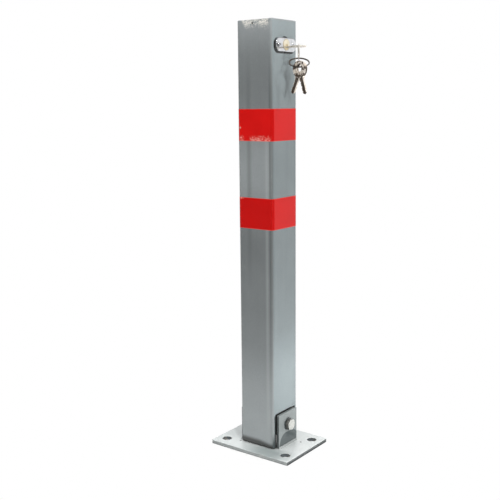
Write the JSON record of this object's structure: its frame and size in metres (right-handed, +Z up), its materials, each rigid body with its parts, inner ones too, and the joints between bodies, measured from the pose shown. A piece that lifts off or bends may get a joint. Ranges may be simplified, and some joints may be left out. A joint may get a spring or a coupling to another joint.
{
  "type": "folding parking post",
  "caption": "Square steel parking post on a bolted base plate; folds down at a cross-bolt hinge, key lock near the top drives an inner locking rod, red reflective bands.",
  "frame": {"origin": "centre of the base plate's underside, on the ground", "axes": "+Z up along the post, +X out of the lock face along the hinge bolt, +Y towards the side to which the post folds"},
  "size_m": [0.1665, 0.115, 0.67],
  "materials": {
    "grey_paint": "glossy grey paint, slightly orange-peeled",
    "painted_weld": "lumpy weld bead under grey paint",
    "washer_zinc": "dull zinc",
    "bright_zinc": "bright zinc plate",
    "red_reflective": "glossy red tape",
    "plain_steel": "drawn steel, lightly oiled",
    "polished_chrome": "polished",
    "barrel_brass": "machined brass",
    "plug_brass": "machined brass",
    "key_metal": "nickel plated, worn",
    "ring_steel": "hardened spring steel"
  },
  "bodies": {
    "base": {"base_plate": "grey_paint", "ear_right": "grey_paint", "ear_left": "grey_paint", "weld_right": "painted_weld", "weld_left": "painted_weld", "hinge_bolt": "bright_zinc", "hinge_nut": "bright_zinc", "bolt_washer_right": "washer_zinc", "bolt_washer_left": "washer_zinc", "thrust_washer_right": "bright_zinc", "thrust_washer_left": "bright_zinc"},
    "post": {"post_tube": "grey_paint", "top_cap": "grey_paint", "red_band_upper": "red_reflective", "red_band_lower": "red_reflective", "hinge_saddle": "plain_steel", "pivot_sleeve": "plain_steel", "rod_guide": "plain_steel", "lock_flange": "polished_chrome", "lock_barrel": "barrel_brass", "flange_screw_front": "polished_chrome", "flange_screw_rear": "polished_chrome"},
    "lock_core": {"lock_plug": "plug_brass", "lock_crank": "plain_steel", "crank_screw": "plain_steel", "key_in_lock": "key_metal"},
    "rod": {"locking_rod": "plain_steel", "rod_yoke": "plain_steel", "cross_pin": "plain_steel"},
    "link": {"key_link": "ring_steel"},
    "ring": {"key_ring": "ring_steel"},
    "front_spare": {"spare_key_front": "key_metal"},
    "rear_spare": {"spare_key_rear": "key_metal"}
  },
  "joints": [
    {"name": "fold", "type": "hinge", "parent": "base", "child": "post", "pos_m": [0, 0, 0.041], "axis": [-1, 0, 0], "range_deg": [0, 90]},
    {"name": "key_turn", "type": "hinge", "parent": "post", "child": "lock_core", "pos_m": [0, 0, 0.6297], "axis": [1, 0, 0], "range_deg": [0, 90]},
    {"name": "rod_drop", "type": "slide", "parent": "post", "child": "rod", "axis": [0, 0, -1], "range_m": [0, 0.01301]},
    {"name": "link_swing", "type": "hinge", "parent": "lock_core", "child": "link", "pos_m": [0.06205, -0.0069, 0.6297], "axis": [0.7986, 0.6018, 0], "range_deg": [-10, 10]},
    {"name": "ring_swing", "type": "hinge", "parent": "link", "child": "ring", "pos_m": [0.06205, -0.0069, 0.61235], "axis": [0.7986, 0.6018, 0], "range_deg": [-10, 20]},
    {"name": "front_spare_swing", "type": "hinge", "parent": "ring", "child": "front_spare", "pos_m": [0.07648, -0.02804, 0.59876], "axis": [0.1392, 0.9903, 0], "range_deg": [-25, 30]},
    {"name": "rear_spare_swing", "type": "hinge", "parent": "ring", "child": "rear_spare", "pos_m": [0.07933, -0.02571, 0.59884], "axis": [0.1392, 0.9903, 0], "range_deg": [-30, 30]}
  ],
  "couplings": [
    {"joint": "key_turn", "follows": "rod_drop", "rad_per_m": 120.72}
  ]
}
